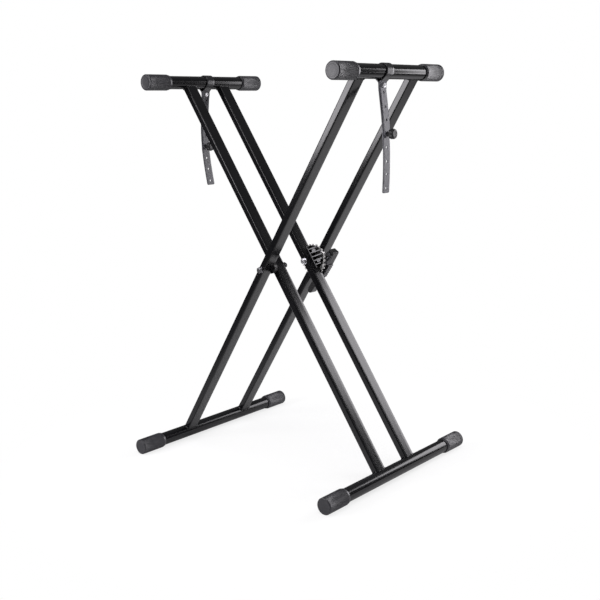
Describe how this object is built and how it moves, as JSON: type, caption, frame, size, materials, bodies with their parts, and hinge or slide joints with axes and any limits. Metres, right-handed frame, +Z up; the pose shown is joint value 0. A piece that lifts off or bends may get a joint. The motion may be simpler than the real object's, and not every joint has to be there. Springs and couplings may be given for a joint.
{
  "type": "folding keyboard stand",
  "caption": "Folding X-shaped keyboard stand of double box legs, round top rests and feet with rubber end caps, a toothed lock with a release lever, and rubber holding straps.",
  "frame": {"origin": "centre of the footprint on the floor", "axes": "+Z up; Y along the round tubes, with the toothed lock on the +Y side; X across the crossing legs, with the inner frame leaning towards -X at the top"},
  "size_m": [0.601, 0.498, 0.8814],
  "materials": {
    "powder_coat": "satin black powder coat",
    "cap_rubber": "matt dark grey, finely fluted",
    "strap_rubber": "matt mid grey",
    "zinc": "bright zinc plating",
    "black_plastic": "moulded, slightly glossy",
    "pawl_steel": "dull grey steel"
  },
  "bodies": {
    "inner_frame": {"inner_top_tube": "powder_coat", "inner_top_near_cap": "cap_rubber", "inner_top_far_cap": "cap_rubber", "inner_foot_tube": "powder_coat", "inner_foot_near_cap": "cap_rubber", "inner_foot_far_cap": "cap_rubber", "inner_near_leg": "powder_coat", "inner_far_leg": "powder_coat", "far_pivot_bolt": "zinc", "far_head_washer": "zinc", "far_nut_washer": "zinc", "far_pivot_nut": "black_plastic", "near_pivot_bush": "black_plastic", "far_pivot_bush": "black_plastic", "lock_disc": "zinc", "disc_screw_1": "zinc", "disc_screw_2": "zinc", "lock_cover": "black_plastic", "cover_screw_1": "zinc", "cover_screw_2": "zinc"},
    "outer_frame": {"outer_top_tube": "powder_coat", "outer_top_near_cap": "cap_rubber", "outer_top_far_cap": "cap_rubber", "outer_foot_tube": "powder_coat", "outer_foot_near_cap": "cap_rubber", "outer_foot_far_cap": "cap_rubber", "outer_near_leg": "powder_coat", "outer_far_leg": "powder_coat", "near_pivot_bolt": "zinc", "near_head_washer": "zinc", "near_nut_washer": "black_plastic", "near_pivot_nut": "black_plastic", "lever_bracket": "powder_coat", "bracket_screw_1": "zinc", "bracket_screw_2": "zinc", "lever_pin": "zinc"},
    "release_lever": {"release_lever": "black_plastic", "lever_grip_pad": "cap_rubber", "lock_pawl": "pawl_steel", "pawl_rivet_1": "zinc", "pawl_rivet_2": "zinc", "lever_spring": "zinc"},
    "left_strap": {"left_strap": "strap_rubber", "left_strap_rivet": "zinc", "left_strap_stud": "zinc"},
    "left_knob": {"left_strap_knob": "black_plastic"},
    "right_strap": {"right_strap": "strap_rubber", "right_strap_rivet": "zinc", "right_strap_stud": "zinc"},
    "right_knob": {"right_strap_knob": "black_plastic"}
  },
  "joints": [
    {"name": "fold", "type": "hinge", "parent": "inner_frame", "child": "outer_frame", "pos_m": [0, 0, 0.44981], "axis": [0, 1, 0], "range_deg": [-60, 75]},
    {"name": "release_lever_squeeze", "type": "hinge", "parent": "outer_frame", "child": "release_lever", "pos_m": [0.00974, 0.0882, 0.41717], "axis": [0, 1, 0], "range_deg": [0, 7], "stiffness_Nm_per_rad": 0.6, "springref_deg": -8.59},
    {"name": "left_strap_swing", "type": "hinge", "parent": "inner_frame", "child": "left_strap", "pos_m": [-0.27017, 0.003, 0.86338], "axis": [0, 1, 0], "range_deg": [-70, 70]},
    {"name": "right_strap_swing", "type": "hinge", "parent": "outer_frame", "child": "right_strap", "pos_m": [0.27017, -0.0215, 0.86338], "axis": [0, 1, 0], "range_deg": [-70, 70]},
    {"name": "left_knob_turn", "type": "hinge", "parent": "left_strap", "child": "left_knob", "pos_m": [-0.27017, 0.003, 0.71339], "axis": [1, 0, 0], "continuous": true},
    {"name": "right_knob_turn", "type": "hinge", "parent": "right_strap", "child": "right_knob", "pos_m": [0.27017, -0.0215, 0.74038], "axis": [1, 0, 0], "continuous": true}
  ]
}
